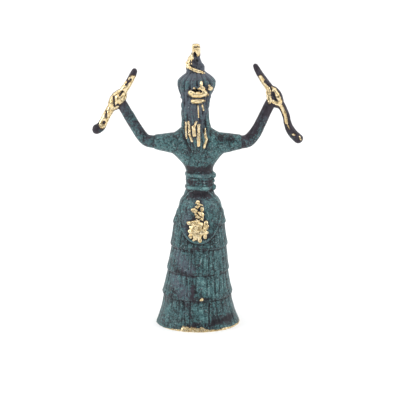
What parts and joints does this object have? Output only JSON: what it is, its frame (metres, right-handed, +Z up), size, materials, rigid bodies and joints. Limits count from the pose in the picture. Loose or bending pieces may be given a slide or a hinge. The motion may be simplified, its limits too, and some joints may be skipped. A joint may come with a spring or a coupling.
{
  "type": "snake goddess statuette",
  "caption": "Small cast brass souvenir figure of a woman raising a snake in each hand, in a tiered skirt, apron, tied belt and fluted cap with a cat, with worn green patina.",
  "frame": {"origin": "middle of the flat underside of the skirt", "axes": "+Z up, -Y the way the figure faces, +X to the figure's left"},
  "size_m": [0.0898, 0.0318, 0.12],
  "materials": {
    "patinated_brass": "cast, with a sponged green and slate patina over dark brown, rubbed to bright brass on the high points and the filed foot"
  },
  "bodies": {
    "root": {"statuette": "patinated_brass"}
  },
  "joints": []
}
